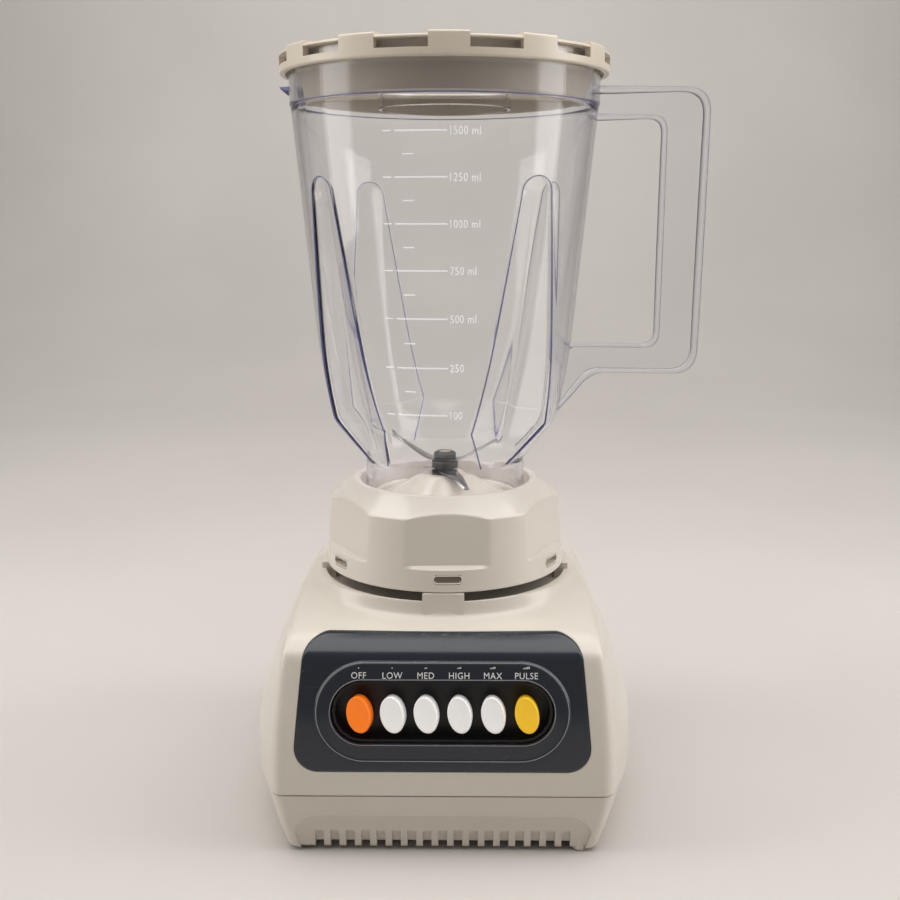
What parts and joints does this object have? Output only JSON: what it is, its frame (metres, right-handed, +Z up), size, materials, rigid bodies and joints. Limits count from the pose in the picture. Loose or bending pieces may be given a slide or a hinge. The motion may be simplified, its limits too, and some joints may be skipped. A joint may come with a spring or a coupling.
{
  "type": "jug blender",
  "caption": "Kitchen jug blender: cream motor base with a slate push-button panel, screwed collar, clear fluted jug with a moulded handle, and a plug lid with a measuring cap.",
  "frame": {"origin": "bottom centre of the whole outline, on the surface that the feet stand on; the drive axis stands at X = -0.01457", "axes": "+Z up along the drive axis, -Y out of the front with the buttons, +X towards the jug's handle"},
  "size_m": [0.2118, 0.1797, 0.3499],
  "materials": {
    "housing_cream": "glossy moulded ABS, warm cream",
    "collar_cream": "glossy moulded ABS, warm cream",
    "lid_cream": "satin moulded plastic, warm cream",
    "blade_base_cream": "satin moulded plastic, warm cream",
    "slate_panel": "glossy dark slate panel with fine scratches",
    "well_black": "black moulded plastic",
    "orange_button": "orange moulded plastic",
    "white_button": "white moulded plastic",
    "yellow_button": "yellow moulded plastic",
    "switch_body": "dark switch body",
    "foot_rubber": "cream rubber foot",
    "screw_steel": "plated steel screw",
    "gland_black": "black inlet bush",
    "motor_steel": "laminated electrical steel",
    "copper": "enamelled copper",
    "brass": "brass",
    "bracket_zinc": "die-cast zinc",
    "fan_black": "black moulded fan",
    "mount_rubber": "black rubber",
    "blade_steel": "ground stainless steel",
    "dark_steel": "dark plated steel",
    "bush_bronze": "sintered bronze",
    "seal_rubber": "pale rubber",
    "jug_clear": "clear moulded plastic with a blue-violet edge tint",
    "cap_clear": "clear moulded plastic"
  },
  "bodies": {
    "base": {"upper_housing": "housing_cream", "lower_housing": "housing_cream", "control_panel": "slate_panel", "button_well": "well_black", "switch_bank": "switch_body", "foot_front_left": "foot_rubber", "foot_front_right": "foot_rubber", "foot_back_left": "foot_rubber", "foot_back_right": "foot_rubber", "housing_screw_1": "screw_steel", "housing_screw_2": "screw_steel", "housing_screw_3": "screw_steel", "housing_screw_4": "screw_steel", "cord_gland": "gland_black", "stator_core": "motor_steel", "field_coil_front": "copper", "field_coil_back": "copper", "brush_holder_left": "brass", "brush_holder_right": "brass", "lower_bracket": "bracket_zinc", "upper_bracket": "bracket_zinc", "lower_bearing": "brass", "upper_bearing": "brass", "motor_mount_1": "mount_rubber", "motor_mount_2": "mount_rubber", "motor_mount_3": "mount_rubber", "motor_mount_4": "mount_rubber"},
    "rotor": {"armature": "motor_steel", "commutator": "copper", "motor_shaft": "motor_steel", "cooling_fan": "fan_black", "drive_dog": "bracket_zinc"},
    "blade_unit": {"blade_base": "blade_base_cream", "base_seal": "seal_rubber", "blade_bush": "bush_bronze"},
    "blade_rotor": {"blade_spindle": "blade_steel", "lower_blade": "blade_steel", "upper_blade": "blade_steel", "blade_spacer": "dark_steel", "blade_nut": "dark_steel", "spindle_washer": "seal_rubber", "blade_dog": "seal_rubber"},
    "collar": {"collar": "collar_cream"},
    "jug": {"jug": "jug_clear"},
    "lid": {"lid": "lid_cream"},
    "filler_cap": {"filler_cap": "cap_clear"},
    "off_button": {"button_off": "orange_button"},
    "low_button": {"button_low": "white_button"},
    "medium_button": {"button_medium": "white_button"},
    "high_button": {"button_high": "white_button"},
    "max_button": {"button_max": "white_button"},
    "pulse_button": {"button_pulse": "yellow_button"}
  },
  "joints": [
    {"name": "motor_spin", "type": "hinge", "parent": "base", "child": "rotor", "pos_m": [-0.01457, 0, 0.05], "axis": [0, 0, 1], "continuous": true},
    {"name": "jug_lift", "type": "slide", "parent": "base", "child": "blade_unit", "axis": [0, 0, 1], "range_m": [0, 0.12]},
    {"name": "blade_spin", "type": "hinge", "parent": "blade_unit", "child": "blade_rotor", "pos_m": [-0.01457, 0, 0.16], "axis": [0, 0, 1], "continuous": true},
    {"name": "collar_turn", "type": "hinge", "parent": "blade_unit", "child": "collar", "pos_m": [-0.01457, 0, 0.13], "axis": [0, 0, -1], "range_deg": [0, 540]},
    {"name": "jug_unscrew", "type": "slide", "parent": "blade_unit", "child": "jug", "axis": [0, 0, 1], "range_m": [0, 0.012]},
    {"name": "lid_lift", "type": "slide", "parent": "jug", "child": "lid", "axis": [0, 0, 1], "range_m": [0, 0.06]},
    {"name": "cap_lift", "type": "slide", "parent": "lid", "child": "filler_cap", "axis": [0, 0, 1], "range_m": [0, 0.05]},
    {"name": "press_off", "type": "slide", "parent": "base", "child": "off_button", "axis": [0, 0.986, -0.1668], "range_m": [0, 0.004], "stiffness_N_per_m": 250},
    {"name": "press_low", "type": "slide", "parent": "base", "child": "low_button", "axis": [0, 0.986, -0.1668], "range_m": [0, 0.004], "stiffness_N_per_m": 250},
    {"name": "press_medium", "type": "slide", "parent": "base", "child": "medium_button", "axis": [0, 0.986, -0.1668], "range_m": [0, 0.004], "stiffness_N_per_m": 250},
    {"name": "press_high", "type": "slide", "parent": "base", "child": "high_button", "axis": [0, 0.986, -0.1668], "range_m": [0, 0.004], "stiffness_N_per_m": 250},
    {"name": "press_max", "type": "slide", "parent": "base", "child": "max_button", "axis": [0, 0.986, -0.1668], "range_m": [0, 0.004], "stiffness_N_per_m": 250},
    {"name": "press_pulse", "type": "slide", "parent": "base", "child": "pulse_button", "axis": [0, 0.986, -0.1668], "range_m": [0, 0.004], "stiffness_N_per_m": 250}
  ],
  "couplings": [
    {"joint": "blade_spin", "follows": "motor_spin", "ratio": 1},
    {"joint": "jug_unscrew", "follows": "collar_turn", "m_per_rad": 0.00127}
  ]
}
